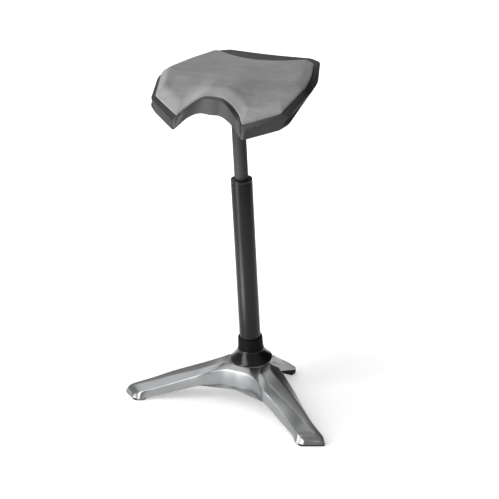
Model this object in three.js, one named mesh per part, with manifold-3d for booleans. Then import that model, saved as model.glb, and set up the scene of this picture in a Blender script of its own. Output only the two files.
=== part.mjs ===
// Perch stool: a saddle seat on a gas-lift column that leans forward out of a three-legged cast foot.
// Millimetres, +Z up, forward is -Y. The origin is on the floor under the middle of the stool.
import * as THREE from 'three';
import { ConvexGeometry } from 'three/addons/geometries/ConvexGeometry.js';
import { mergeVertices } from 'three/addons/utils/BufferGeometryUtils.js';
import Module from 'manifold-3d';

const wasm = await Module();
wasm.setup();

// General clearances and mesh steps
const clearance = 0.3; // between pieces that touch
const runningGap = 0.04; // round what slides or turns in a hole
const overrun = 4; // how far a cutter runs past what it cuts
const weldDistance = 0.001;
const roundSteps = 40;
const fineSteps = 16;

// Cast foot
const footHalfSpan = 278; // from the middle to a front leg's outer corner
const footReach = 173; // forward reach of a front leg's tip
const hubHeight = 101.5; // top of the hub on the column's axis
const rearReach = 170; // rearward reach of the short leg's tip
const tipGap = 3; // floor to the casting at a front leg's end
const tipRise = 7; // how far the underside rises over the length of a pad
const padLength = 28; // of a front pad, along the leg
const rearTipGap = 12;
const rearPadLength = 22;
const hubRadius = 51.5;
const hubCoreRadius = 40;
const hubSkirtRadius = 76;
const hubSkirtEdgeShare = 0.532; // height of the skirt's edge over the floor, over hubHeight
const hubSkirtTopShare = 0.808;
const hubDepthShare = 0.552; // length of the hub along the column's axis, over hubHeight
const hubFloor = 8;
const pegRadius = 4;
const pegLength = 9;
const padInset = 1.2;

// Column
const leanDegrees = 5.5; // forward lean of the column
const tubeRadius = 25;
const tubeWall = 2;
const tubeTop = 457.4; // along the axis from the hub's top
const capHeight = 8;
const capChamfer = 2;
const collarBottomRadius = 30.4;
const collarTopRadius = 29.2;
const collarTop = 60;
const collarChamfer = 2.2;
const bellRadius = 51;
const bellHeight = 30;
const bellWall = 2.5;
const bellWaist = 31.5;
const bellSweepShare = 0.3; // how far the flare's corner is drawn in towards the axis
const bushLength = 78;
const plugHeight = 12.5;
const plugRecess = 4;
const plugRecessRadius = 9;
const boltRadius = 5;
const boltHeadRadius = 8.5;
const boltHeadHeight = 6.5;
const boltTipGap = 1;
const washerRadius = 12;
const washerThickness = 1.8;

// Thrust bearing and buffer, stacked on the plug
const raceThickness = 3;
const raceRadius = 19;
const ballRadius = 3;
const ballCircle = 14;
const ballCount = 8;
const cageThickness = 2.2;
const cageInnerRadius = 9.5;
const bufferHeight = 15;
const bufferRadius = 14;

// Gas spring
const cylinderRadius = 16;
const cylinderWall = 2;
const cylinderBottom = 252; // along the axis
const cylinderTop = 632;
const rodRadius = 5;
const rodShoulderRadius = 9;
const rodShoulder = 3;
const clipRadius = 7.5;
const clipThickness = 1.2;
const pistonBottom = 410; // along the axis
const pistonHeight = 18;
const pistonSealHeight = 4;
const guideHeight = 16;
const sealHeight = 6;
const valveBlockHeight = 34;
const valvePinRadius = 3;
const valvePinLift = 6; // how far the pin stands out of the cylinder
const valvePinLength = 24;
const valvePinChamfer = 1.4;
const valvePinHeadRadius = 5;
const valvePinHeadHeight = 2.4;

// Seat, carried by the column where its axis meets the shell
const seatHalfWidth = 191;
const seatDepth = 274; // from the shell's rear edge to the lobes' tips
const seatBehindShare = 0.5348; // of seatDepth, from the column back to the rear edge
const seatMiddleShare = 0.518; // of seatDepth, from the rear edge to where rings are drawn towards
const notchShare = 0.872; // of seatDepth, from the rear edge to the notch
const droopRunShares = [0.613, 0.967]; // of seatDepth, where the lobes' droop starts and ends
const droopSpreadShares = [0.0785, 0.471]; // of seatHalfWidth, where it starts and ends across
const droopEaseShare = 0.15; // of the droop's run over which it sets in
const seatSlopeDegrees = 12;
const sideRise = 7.4; // of the deck at its full half width
const lobeDroop = 44;
const wallHeight = 37; // of the shell, at the notch
const shellWall = 4;
const floorLift = 20.4; // of the shell's flat underside over the gas cylinder's top
const deckLift = 24; // of the deck at the notch over that underside
const floorSlopeDegrees = 9;
const boardThickness = 8;
const cushionHeight = 17.8;
const cushionBulgeHeight = 2.7;
const seamInset = 0.8;
const bevelInset = 3.4; // from the cushion's outline to its bevel
const bevelRun = 11.6;
const bevelBottom = 6.9;
const bevelTop = 14.7;
const crownInset = 20;
const crownEdge = 16.4;
const coverThickness = 1.6;

// Seat mount and lever
const plateHalf = 52;
const plateThickness = 6;
const plateCorner = 12;
const socketRadius = 23;
const socketBottom = 603; // along the axis
const leverPivot = 32; // from the column's axis
const gripInset = 33; // from the seat's side to the grip's end
const leverWidth = 12;
const leverThickness = 4;
const leverInnerEnd = 5;
const leverPinRadius = 2;
const leverPinHead = 3.6;
const leverEyeRadius = 4.2;
const leverPinHeadHeight = 2;
const leverAngleShare = 0.02; // rise of the lever's arm over its run
const earThickness = 4;
const earHalfWidth = 6;
const gripLength = 62;
const gripWidth = 24;
const gripThickness = 8;
const gripOverlap = 26; // how far the lever reaches into its grip
const leverSwing = 3.4; // room kept for the lever's travel
const screwSpacing = 76;
const screwRadius = 3;
const screwHeadRadius = 6;
const screwHeadHeight = 3.6;
const screwLength = 24;
const bossRadius = 8;
const boardScrewRadius = 2;
const boardScrewHead = 4.2;
const boardScrewHeadHeight = 2.4;
const boardScrewLength = 9.4;
const boardScrewPlaceShares = [[0.62, 0.3], [0.62, 0.7]];

const lean = THREE.MathUtils.degToRad(leanDegrees);
const seatSlope = Math.tan(THREE.MathUtils.degToRad(seatSlopeDegrees));
const floorTilt = THREE.MathUtils.degToRad(floorSlopeDegrees);
const floorSlope = Math.tan(floorTilt);
const hubDepth = hubHeight * hubDepthShare;
const hubSkirtEdge = hubHeight * hubSkirtEdgeShare;
const hubSkirtTop = hubHeight * hubSkirtTopShare;

// The seat's heights and forward places follow the top of the gas cylinder.
const floorHeight = hubHeight + cylinderTop * Math.cos(lean) + floorLift;
const deckHeight = floorHeight + deckLift;
const columnForward = (floorHeight - hubHeight) * Math.tan(lean);
const seatRear = columnForward - seatDepth * seatBehindShare;
const seatMiddle = seatRear + seatDepth * seatMiddleShare;
const notchForward = seatRear + seatDepth * notchShare;
const [droopStart, droopEnd] = droopRunShares.map((share) => seatRear + seatDepth * share);
const [droopInner, droopOuter] = droopSpreadShares.map((share) => seatHalfWidth * share);
const leverLength = seatHalfWidth - gripInset;

// Finishes as colour, roughness and metalness
const finishes = {
  polishedAluminium: [0xa9abac, 0.28, 1],
  satinBlack: [0x2b2c2d, 0.45, 0.2],
  glossBlack: [0x0c0d0e, 0.18, 0],
  matteBlack: [0x1b1c1d, 0.7, 0],
  rubber: [0x101011, 0.9, 0],
  darkSteel: [0x3d3f41, 0.45, 0.8],
  steel: [0xb3b6b8, 0.35, 1],
  whitePlastic: [0xd8d6cf, 0.6, 0],
  charcoalPlastic: [0x3a3c3d, 0.55, 0],
  greyFabric: [0x858585, 0.95, 0],
  foam: [0xd9cf9a, 0.95, 0],
  plywood: [0xb08d5b, 0.75, 0],
  brass: [0xb8954a, 0.4, 1],
};

const stool = new THREE.Group();
const column = new THREE.Group();
column.position.set(0, 0, hubHeight);
column.rotation.x = lean;
column.updateMatrix();
stool.add(column);

function addPiece(parent, name, finish, geometry) {
  const [color, roughness, metalness] = finishes[finish];
  const mesh = new THREE.Mesh(geometry, new THREE.MeshStandardMaterial({ color, roughness, metalness }));
  mesh.name = name;
  parent.add(mesh);
  return mesh;
}

// A point at x across and f forward of the hub, z above the floor.
function place(x, f, z) {
  return new THREE.Vector3(x, -f, z);
}

function solidOf(geometry) {
  const bare = geometry.index ? geometry.toNonIndexed() : geometry.clone();
  bare.deleteAttribute('normal');
  bare.deleteAttribute('uv');
  const merged = mergeVertices(bare, weldDistance);
  return new wasm.Manifold(new wasm.Mesh({
    numProp: 3,
    vertProperties: merged.attributes.position.array,
    triVerts: new Uint32Array(merged.index.array),
  }));
}

function geometryOf(solid) {
  const mesh = solid.getMesh();
  const geometry = new THREE.BufferGeometry();
  geometry.setAttribute('position', new THREE.BufferAttribute(mesh.vertProperties, 3));
  geometry.setIndex(new THREE.BufferAttribute(mesh.triVerts, 1));
  geometry.computeVertexNormals();
  return geometry;
}

// A solid turned about Z from a profile of [radius, height] points, listed anticlockwise.
function turned(profile, steps = roundSteps) {
  const points = profile.map(([radius, height]) => new THREE.Vector2(radius, height));
  return new THREE.LatheGeometry(points, steps).rotateX(Math.PI / 2);
}

function ring(innerRadius, outerRadius, bottom, top, steps = roundSteps) {
  return turned([
    [innerRadius, bottom],
    [outerRadius, bottom],
    [outerRadius, top],
    [innerRadius, top],
    [innerRadius, bottom],
  ], steps);
}

// Radius of a hole whose flats run just clear of a shaft.
function holeAround(radius) {
  return (radius + runningGap) / Math.cos(Math.PI / roundSteps);
}

function disc(radius, bottom, top, steps = roundSteps) {
  return turned([[0, bottom], [radius, bottom], [radius, top], [0, top]], steps);
}

// A closed skin over rings of equal count, from the lowest to the highest, closed by a fan at each end.
function lofted(rings) {
  const count = rings[0].length;
  const points = rings.flat();
  const faces = [];
  for (let level = 0; level + 1 < rings.length; level += 1) {
    for (let i = 0; i < count; i += 1) {
      const next = (i + 1) % count;
      const a = level * count + i;
      const b = level * count + next;
      faces.push(a, b, b + count, a, b + count, a + count);
    }
  }
  const last = (rings.length - 1) * count;
  const middle = (list) => {
    const sum = list.reduce((total, p) => total.add(p), new THREE.Vector3());
    return sum.divideScalar(list.length);
  };
  points.push(middle(rings[0]), middle(rings.at(-1)));
  for (let i = 0; i < count; i += 1) {
    const next = (i + 1) % count;
    faces.push(points.length - 2, next, i, points.length - 1, last + i, last + next);
  }
  const geometry = new THREE.BufferGeometry().setFromPoints(points);
  geometry.setIndex(faces);
  geometry.computeVertexNormals();
  return geometry;
}

// Front leg sections as shares of footHalfSpan, footReach and hubHeight, from the tip to inside the hub.
// Each holds the front ridge, the panel's crease, the crest and the rear edge.
const frontLegShares = [
  [[0.799, 0.965, 0.207], [0.941, 0.832, 0.212], [0.957, 0.815, 0.207], [0.971, 0.798, 0.165]],
  [[0.698, 0.855, 0.281], [0.763, 0.653, 0.374], [0.781, 0.624, 0.394], [0.788, 0.543, 0.276]],
  [[0.554, 0.723, 0.424], [0.626, 0.549, 0.517], [0.64, 0.48, 0.552], [0.655, 0.393, 0.404]],
  [[0.406, 0.601, 0.591], [0.464, 0.445, 0.66], [0.496, 0.353, 0.695], [0.514, 0.214, 0.562]],
  [[0.302, 0.524, 0.709], [0.356, 0.358, 0.768], [0.388, 0.26, 0.798], [0.421, 0.098, 0.65]],
  [[0.173, 0.36, 0.8], [0.223, 0.254, 0.91], [0.252, 0.162, 0.95], [0.288, -0.046, 0.8]],
  [[0.036, 0.173, 0.82], [0.05, 0.116, 0.92], [0.065, 0.046, 0.95], [0.072, -0.069, 0.8]],
];
// Underside edges of the same sections: front, then rear. The first two lie on the tip's flat underside.
const frontLegUnderShares = [
  [[0.799, 1, 0], [0.993, 0.803, 0]],
  [[0.705, 0.867, 0], [0.799, 0.538, 0]],
  [[0.558, 0.734, 0.197], [0.662, 0.382, 0.177]],
  [[0.41, 0.618, 0.335], [0.518, 0.208, 0.315]],
  [[0.309, 0.538, 0.414], [0.424, 0.092, 0.414]],
  [[0.187, 0.416, 0.473], [0.288, -0.046, 0.473]],
  [[0.036, 0.173, 0.493], [0.072, -0.069, 0.493]],
];

const footPoint = ([across, forward, up]) => place(
  footHalfSpan * across,
  footReach * forward,
  hubHeight * up,
);
const tipFront = footPoint(frontLegUnderShares[0][0]);
const tipRear = footPoint(frontLegUnderShares[0][1]);
const tipEdge = tipRear.clone().sub(tipFront).normalize();
const tipInward = new THREE.Vector3(0, 0, 1).cross(tipEdge).normalize();

// Height of a front leg's flat underside at a point, which rises inward from the leg's end.
function tipUnderside(point) {
  const inward = point.clone().sub(tipFront).dot(tipInward);
  return tipGap + tipRise * inward / padLength / 2;
}

function frontLegSection(index) {
  const top = frontLegShares[index].map(footPoint);
  const under = frontLegUnderShares[index].map(footPoint);
  if (index < 2) under.forEach((point) => { point.z = tipUnderside(point); });
  return [under[0], ...top, under[1]];
}

function frontLegSolid() {
  const sections = frontLegShares.map((_, index) => frontLegSection(index));
  return solidOf(lofted(sections));
}

// Rear leg sections: shares of rearReach for the place, and of hubHeight and hubRadius for the section.
const rearLegShares = [
  { reach: 0.97, top: 0.237, topHalf: 0.54, shoulder: 0.195, half: 0.66 },
  { reach: 0.65, top: 0.58, topHalf: 0.5, shoulder: 0.5, half: 0.62 },
  { reach: 0.32, top: 0.91, topHalf: 0.46, shoulder: 0.8, half: 0.7 },
  { reach: 0.05, top: 0.92, topHalf: 0.4, shoulder: 0.8, half: 0.6 },
];
const rearLegUnderShares = [1, 0.68, 0.32, 0.05];
const rearLegUnderHeights = [rearTipGap, hubHeight * 0.27, hubHeight * 0.47, hubHeight * 0.49];

function rearLegSolid() {
  const sections = rearLegShares.map(({ reach, top, topHalf, shoulder, half }, index) => {
    const f = -rearReach * reach;
    const under = -rearReach * rearLegUnderShares[index];
    const low = rearLegUnderHeights[index];
    return [
      place(-hubRadius * half, under, low),
      place(hubRadius * half, under, low),
      place(hubRadius * half, f, hubHeight * shoulder),
      place(hubRadius * topHalf, f, hubHeight * top),
      place(-hubRadius * topHalf, f, hubHeight * top),
      place(-hubRadius * half, f, hubHeight * shoulder),
    ];
  });
  return solidOf(lofted(sections));
}

// Web between the right front leg and the rear leg, as shares of footHalfSpan, footReach and hubHeight.
const webShares = [
  [0.4, 0.1, 0.63], [0.24, 0.06, 0.88], [0.08, -0.2, 0.88], [0.118, -0.54, 0.52], [0.27, -0.1, 0.7],
  [0.4, 0.1, 0.42], [0.06, 0.1, 0.46], [0.05, -0.2, 0.46], [0.118, -0.54, 0.31], [0.27, -0.1, 0.46],
];

function mirrored(solid) {
  return solid.mirror([1, 0, 0]);
}

// Contours of the front arch, as shares of footHalfSpan and footReach, at three heights of the casting.
const archTopShares = [
  [0, 0.296], [0.05, 0.285], [0.1, 0.25], [0.144, 0.268],
  [0.216, 0.43], [0.302, 0.56], [0.36, 0.615], [0.86, 1.13],
];
const archRidgeShares = [
  [0, 0.301], [0.05, 0.305], [0.097, 0.315], [0.165, 0.358],
  [0.237, 0.443], [0.302, 0.532], [0.36, 0.59], [0.86, 1.13],
];
const archLowShares = [
  [0, 0.432], [0.07, 0.432], [0.144, 0.439], [0.2, 0.462],
  [0.273, 0.514], [0.324, 0.564], [0.36, 0.598], [0.86, 1.13],
];
const archTopShare = 0.956;
const archRidgeShare = 0.803;
const archLowShare = 0.5;

function archCutter() {
  const levels = [
    [archLowShares, -1], [archLowShares, archLowShare], [archRidgeShares, archRidgeShare],
    [archTopShares, archTopShare], [archTopShares, 2],
  ];
  const far = 2 * footReach;
  return solidOf(lofted(levels.map(([shares, up]) => {
    const half = shares.map(([across, forward]) => [footHalfSpan * across, footReach * forward]);
    const edge = [...half.slice(1).reverse().map(([x, f]) => [-x, f]), ...half];
    const z = hubHeight * up;
    const outline = [...edge, [edge.at(-1)[0], far], [edge[0][0], far]];
    return outline.map(([x, f]) => place(x, f, z)).reverse();
  })));
}

// Turned hub that holds the column's foot, on the column's axis, with an upright skirt between the legs.
function hubSolid() {
  const boss = turned([
    [0, -hubDepth],
    [hubCoreRadius, -hubDepth],
    [hubRadius, -hubDepth / 2],
    [hubRadius, -clearance],
    [0, -clearance],
  ]).applyMatrix4(column.matrix);
  const lip = hubRadius / 20;
  const skirt = turned([
    [0, hubSkirtEdge - lip], [hubSkirtRadius, hubSkirtEdge - lip], [hubSkirtRadius, hubSkirtEdge],
    [hubRadius + lip, hubSkirtTop], [0, hubSkirtTop],
  ]);
  return solidOf(boss).add(solidOf(skirt));
}

function hubBore() {
  const seat = -hubDepth + hubFloor;
  return solidOf(turned([
    [0, -hubDepth - overrun],
    [boltRadius + clearance, -hubDepth - overrun],
    [boltRadius + clearance, seat],
    [tubeRadius + clearance, seat],
    [tubeRadius + clearance, overrun],
    [0, overrun],
  ]).applyMatrix4(column.matrix));
}

// Places of the pegs that hold the pads, left, right and rear.
const tipMiddle = tipFront.clone().lerp(tipRear, 0.5).addScaledVector(tipInward, padLength / 2);
const pegPlaces = {
  left: new THREE.Vector3(-tipMiddle.x, tipMiddle.y, tipUnderside(tipMiddle)),
  right: new THREE.Vector3(tipMiddle.x, tipMiddle.y, tipUnderside(tipMiddle)),
  rear: place(0, -rearReach + rearPadLength / 2, rearTipGap),
};

function peg({ x, y, z }, spare) {
  const low = -overrun / 2;
  return solidOf(disc(pegRadius + spare, low, pegLength + spare, fineSteps).translate(x, y, z));
}

function addFootCasting() {
  const leg = frontLegSolid();
  const web = solidOf(new ConvexGeometry(webShares.map(footPoint)));
  let casting = leg.add(mirrored(leg)).add(rearLegSolid()).add(web).add(mirrored(web)).add(hubSolid());
  casting = casting.subtract(archCutter()).subtract(hubBore());
  Object.values(pegPlaces).forEach((spot) => { casting = casting.subtract(peg(spot, clearance)); });
  addPiece(stool, 'foot_casting', 'polishedAluminium', geometryOf(casting));
}

// Wedge of rubber under a front leg's tip, its top parallel to the casting, with a peg moulded on.
function frontPadSolid() {
  const outer = [
    tipFront.clone().addScaledVector(tipEdge, padInset).addScaledVector(tipInward, padInset),
    tipRear.clone().addScaledVector(tipEdge, -padInset).addScaledVector(tipInward, padInset),
  ];
  const inner = outer.map((point, index) => {
    const along = footPoint(frontLegUnderShares[1][index]).sub([tipFront, tipRear][index]);
    const share = padLength / along.dot(tipInward);
    const inset = index === 0 ? padInset : -padInset;
    return point.clone().addScaledVector(along, share).addScaledVector(tipEdge, inset);
  });
  const corners = [...outer, ...inner].flatMap((point) => [
    new THREE.Vector3(point.x, point.y, 0),
    new THREE.Vector3(point.x, point.y, tipUnderside(point) - clearance),
  ]);
  return solidOf(new ConvexGeometry(corners)).add(peg(pegPlaces.right, 0));
}

function rearPadSolid() {
  const half = hubRadius * rearLegShares[0].half - padInset;
  const length = rearPadLength - padInset;
  const block = new THREE.BoxGeometry(2 * half, length, rearTipGap - clearance);
  block.translate(0, rearReach - padInset - length / 2, (rearTipGap - clearance) / 2);
  return solidOf(block).add(peg(pegPlaces.rear, 0));
}

function addFootPads() {
  const pad = frontPadSolid();
  addPiece(stool, 'foot_pad_left', 'rubber', geometryOf(mirrored(pad)));
  addPiece(stool, 'foot_pad_right', 'rubber', geometryOf(pad));
  addPiece(stool, 'foot_pad_rear', 'rubber', geometryOf(rearPadSolid()));
}

// Column tube with its plug, bolt and washer
const tubeBottom = -hubDepth + hubFloor + clearance;
const tubeBore = tubeRadius - tubeWall;
const plugTop = tubeBottom + plugHeight;

function addTube() {
  addPiece(column, 'outer_tube', 'satinBlack', ring(tubeBore, tubeRadius, tubeBottom, tubeTop));
  const edge = tubeBore - clearance;
  const recess = plugTop - plugRecess;
  addPiece(column, 'tube_plug', 'steel', turned([
    [boltRadius + clearance, tubeBottom],
    [edge, tubeBottom],
    [edge, plugTop],
    [plugRecessRadius, plugTop],
    [plugRecessRadius, recess],
    [boltRadius + clearance, recess],
    [boltRadius + clearance, tubeBottom],
  ]));
  const washerTop = -hubDepth - clearance;
  const washerBottom = washerTop - washerThickness;
  const washer = ring(boltRadius + clearance, washerRadius, washerBottom, washerTop);
  addPiece(column, 'lock_washer', 'steel', washer);
  const headTop = washerBottom - clearance;
  const shankTop = recess - boltTipGap;
  addPiece(column, 'column_bolt', 'darkSteel', solidBolt(headTop, shankTop));
}

// Hexagon bolt with a round shank, head down.
function solidBolt(headTop, shankTop) {
  const head = new THREE.CylinderGeometry(boltHeadRadius, boltHeadRadius, boltHeadHeight, 6);
  head.rotateX(Math.PI / 2).translate(0, 0, headTop - boltHeadHeight / 2);
  const shank = disc(boltRadius, headTop - boltHeadHeight / 2, shankTop, fineSteps);
  return geometryOf(solidOf(head).add(solidOf(shank)));
}

// Bell cover with a concave flare, and the collar clamped above it
function addBellAndCollar() {
  const inside = tubeRadius + clearance;
  const rise = bellHeight - bellWall;
  const sweep = bellRadius - bellWaist;
  const flare = new THREE.QuadraticBezierCurve(
    new THREE.Vector2(bellRadius, bellWall),
    new THREE.Vector2(bellWaist + sweep * bellSweepShare, bellWall + rise * bellSweepShare),
    new THREE.Vector2(bellWaist, bellHeight),
  ).getPoints(8).map((p) => [p.x, p.y]);
  const hollow = flare.slice(0, -2).reverse().map(([r, s]) => [r - bellWall, s - bellWall / 2]);
  addPiece(column, 'bell_cover', 'glossBlack', turned([
    [bellRadius, 0],
    ...flare,
    [inside, bellHeight],
    [inside, rise],
    ...hollow,
    [bellRadius - bellWall, 0],
    [bellRadius, 0],
  ]));
  const bottom = bellHeight + clearance;
  addPiece(column, 'tube_collar', 'matteBlack', turned([
    [inside, bottom], [collarBottomRadius, bottom], [collarTopRadius, collarTop - collarChamfer],
    [collarTopRadius - collarChamfer, collarTop], [inside, collarTop], [inside, bottom],
  ]));
}

function addBushAndCap() {
  const bore = holeAround(cylinderRadius);
  const bush = ring(bore, tubeBore - clearance, tubeTop - bushLength, tubeTop);
  addPiece(column, 'guide_bush', 'whitePlastic', bush);
  const mouth = cylinderRadius + clearance;
  const bottom = tubeTop + clearance;
  const top = bottom + capHeight;
  addPiece(column, 'cap_ring', 'matteBlack', turned([
    [mouth, bottom], [tubeRadius, bottom], [tubeRadius, top - capChamfer], [tubeRadius - capChamfer, top],
    [mouth, top], [mouth, bottom],
  ]));
}

// Thrust bearing on the plug: two races, and balls in a cage
const lowerRace = plugTop + clearance;
const ballCentre = lowerRace + raceThickness + clearance + ballRadius;
const upperRace = ballCentre + ballRadius + clearance;
const shoulderBottom = upperRace + raceThickness + clearance;

function addThrustBearing() {
  const lowerTop = lowerRace + raceThickness;
  addPiece(column, 'lower_race', 'steel', ring(holeAround(rodRadius), raceRadius, lowerRace, lowerTop));
  const hole = rodRadius + clearance;
  const upperTop = upperRace + raceThickness;
  addPiece(column, 'upper_race', 'steel', ring(hole, raceRadius, upperRace, upperTop));
  const cageBottom = ballCentre - cageThickness / 2;
  let cage = solidOf(ring(cageInnerRadius, raceRadius, cageBottom, cageBottom + cageThickness));
  for (let i = 0; i < ballCount; i += 1) {
    const angle = 2 * Math.PI * i / ballCount;
    const x = ballCircle * Math.cos(angle);
    const y = ballCircle * Math.sin(angle);
    const ball = new THREE.SphereGeometry(ballRadius, 12, 8).translate(x, y, ballCentre);
    addPiece(column, `bearing_ball_${i + 1}`, 'steel', ball);
    const pocket = disc(ballRadius + clearance, cageBottom - overrun, cageBottom + overrun, fineSteps);
    cage = cage.subtract(solidOf(pocket.translate(x, y, 0)));
  }
  addPiece(column, 'ball_cage', 'brass', geometryOf(cage));
}

// Piston rod with the shoulder that loads the bearing, its clip, buffer, piston and piston seal
function addPistonRod() {
  const hole = rodRadius + clearance;
  const clipTop = lowerRace - clearance - clipThickness / 2;
  const clipBottom = clipTop - clipThickness;
  const shoulderTop = shoulderBottom + rodShoulder;
  const sealTop = pistonBottom + pistonHeight + clearance + pistonSealHeight;
  const stop = pistonBottom - clearance;
  addPiece(column, 'piston_rod', 'steel', turned([
    [0, clipBottom - clipThickness / 2],
    [rodRadius, clipBottom - clipThickness / 2],
    [rodRadius, shoulderBottom],
    [rodShoulderRadius, shoulderBottom],
    [rodShoulderRadius, shoulderTop],
    [rodRadius, shoulderTop],
    [rodRadius, stop - rodShoulder],
    [clipRadius, stop - rodShoulder],
    [clipRadius, stop],
    [rodRadius, stop],
    [rodRadius, sealTop + rodShoulder],
    [0, sealTop + rodShoulder],
  ], fineSteps));
  addPiece(column, 'rod_clip', 'steel', ring(hole, clipRadius, clipBottom, clipTop, fineSteps));
  const bufferBottom = shoulderTop + clearance;
  const bufferTop = bufferBottom + bufferHeight;
  addPiece(column, 'rubber_buffer', 'rubber', ring(hole, bufferRadius, bufferBottom, bufferTop));
  const edge = cylinderRadius - cylinderWall - runningGap;
  addPiece(column, 'piston', 'brass', ring(hole, edge, pistonBottom, pistonBottom + pistonHeight));
  addPiece(column, 'piston_seal', 'rubber', ring(hole, edge, sealTop - pistonSealHeight, sealTop));
}

function addGasCylinder() {
  const bore = cylinderRadius - cylinderWall;
  const fit = bore - clearance;
  const hole = holeAround(rodRadius);
  addPiece(column, 'gas_cylinder', 'darkSteel', ring(bore, cylinderRadius, cylinderBottom, cylinderTop));
  const guideTop = cylinderBottom + guideHeight;
  addPiece(column, 'rod_guide', 'brass', ring(hole, fit, cylinderBottom, guideTop));
  const sealBottom = guideTop + clearance;
  addPiece(column, 'rod_seal', 'rubber', ring(hole, fit, sealBottom, sealBottom + sealHeight));
  const pinHole = holeAround(valvePinRadius);
  const blockBottom = cylinderTop - valveBlockHeight;
  const pinTop = cylinderTop + valvePinLift;
  const pinBottom = pinTop - valvePinLength;
  const chamber = valvePinHeadRadius + clearance;
  addPiece(column, 'valve_block', 'brass', turned([
    [chamber, blockBottom], [fit, blockBottom], [fit, cylinderTop], [pinHole, cylinderTop],
    [pinHole, pinBottom + clearance], [chamber, pinBottom + clearance], [chamber, blockBottom],
  ]));
  addPiece(column, 'valve_button', 'steel', turned([
    [0, pinBottom - valvePinHeadHeight],
    [valvePinHeadRadius, pinBottom - valvePinHeadHeight],
    [valvePinHeadRadius, pinBottom],
    [valvePinRadius, pinBottom],
    [valvePinRadius, pinTop - valvePinChamfer],
    [valvePinRadius - valvePinChamfer, pinTop],
    [0, pinTop],
  ], fineSteps));
}

// Seat forms. Each row is a corner of half an outline, from the rear middle round the right side to
// the notch: its place as shares of seatHalfWidth and seatDepth, its rounding over seatHalfWidth, and
// its drop under the deck over wallHeight.
const padShares = [
  [0, 0.193, 1.57, 0], [0.314, 0.168, 1.05, 0], [0.597, 0.102, 0.12, 0], [0.696, 0.135, 0.12, 0],
  [0.853, 0.38, 0.79, 0], [0.958, 0.62, 0.21, 0], [0.843, 0.841, 0.03, 0],
  [0.432, 0.967, 0.03, 0], [0.361, 0.92, 0.31, 0], [0.298, 0.9, 0.31, 0],
  [0.236, 0.891, 0.31, 0], [0.157, 0.888, 0.31, 0], [0.079, 0.883, 0.31, 0], [0, 0.88, 0.31, 0],
];
const rimShares = [
  [0, 0, 1.57, -0.041], [0.314, 0, 1.57, -0.041], [0.555, 0, 0.16, -0.027],
  [0.712, 0.047, 0.16, 0.027], [0.942, 0.416, 0.79, 0.216], [1.016, 0.613, 0.31, 0.27],
  [0.921, 0.832, 0.05, 0.216], [0.466, 0.984, 0.03, 0.184], [0.372, 0.943, 0.31, 0.176],
  [0.301, 0.922, 0.31, 0.162], [0.236, 0.908, 0.31, 0.157], [0.157, 0.897, 0.31, 0.151],
  [0.079, 0.891, 0.31, 0.146], [0, 0.888, 0.31, 0.146],
];
const undersideShares = [
  [0, 0.036, 1.57, 0.757], [0.314, 0.036, 1.57, 0.757], [0.529, 0.036, 0.13, 0.73],
  [0.654, 0.077, 0.13, 0.703], [0.869, 0.416, 0.79, 0.757], [0.942, 0.613, 0.31, 0.73],
  [0.929, 0.816, 0.05, 0.576], [0.463, 0.995, 0.04, 0.527], [0.393, 0.985, 0.31, 0.541],
  [0.325, 0.974, 0.31, 0.459], [0.236, 0.964, 0.31, 0.595], [0.157, 0.958, 0.31, 0.784],
  [0.079, 0.954, 0.31, 0.865], [0, 0.953, 0.31, 0.87],
];

// Height of the shell's deck over the floor: a forward slope, raised sides and two drooping front lobes.
function deckAt(x, f) {
  const across = THREE.MathUtils.smoothstep(Math.abs(x), droopInner, droopOuter);
  const run = Math.max(f - droopStart, 0) / (droopEnd - droopStart);
  const along = run < droopEaseShare ? run ** 2 / droopEaseShare / 2 : run - droopEaseShare / 2;
  const rise = sideRise * (x / seatHalfWidth) ** 2;
  const droop = lobeDroop * across * along / (1 - droopEaseShare / 2);
  return deckHeight + (notchForward - f) * seatSlope + rise - droop;
}

function floorAt(f) {
  return floorHeight + (seatMiddle - f) * floorSlope;
}

// All corners of an outline, from half of them and their mirror images.
function cornersOf(shares) {
  const half = shares.map(([across, along, round, drop]) => ({
    x: seatHalfWidth * across,
    f: seatRear + seatDepth * along,
    round: seatHalfWidth * round,
    drop: wallHeight * drop,
  }));
  const other = half.slice(1, -1).reverse().map((corner) => ({ ...corner, x: -corner.x }));
  return [...half, ...other];
}

// Moves every edge of an outline inward by a distance, so that the corners stay mitred.
function insetCorners(corners, distance) {
  const normals = corners.map((corner, i) => {
    const next = corners[(i + 1) % corners.length];
    return new THREE.Vector2(corner.f - next.f, next.x - corner.x).normalize();
  });
  return corners.map((corner, i) => {
    const before = normals.at(i - 1);
    const push = distance / (1 + before.dot(normals[i]));
    return {
      ...corner,
      x: corner.x + push * (before.x + normals[i].x),
      f: corner.f + push * (before.y + normals[i].y),
    };
  });
}

const leastReachShare = 0.1; // of a corner's rounding along the shorter of its two edges
const mostReachShare = 0.45;

// An outline as a ring with two points for each corner, where its rounding starts and ends.
function ringOf(corners) {
  const points = corners.map(({ x, f, drop }) => new THREE.Vector3(x, f, drop));
  return points.flatMap((point, i) => {
    const back = points.at(i - 1).clone().sub(point);
    const ahead = points[(i + 1) % points.length].clone().sub(point);
    const backRun = new THREE.Vector2(back.x, back.y);
    const aheadRun = new THREE.Vector2(ahead.x, ahead.y);
    const shorter = Math.min(backRun.length(), aheadRun.length());
    const rounding = corners[i].round / Math.tan(backRun.angleTo(aheadRun) / 2);
    const reach = THREE.MathUtils.clamp(rounding, leastReachShare * shorter, mostReachShare * shorter);
    return [
      point.clone().addScaledVector(back, reach / backRun.length()),
      point.clone().addScaledVector(ahead, reach / aheadRun.length()),
    ];
  }).reverse();
}

const padCorners = cornersOf(padShares);
const padRing = ringOf(padCorners);
const rimRing = ringOf(cornersOf(rimShares));
const undersideRing = ringOf(cornersOf(undersideShares));

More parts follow.
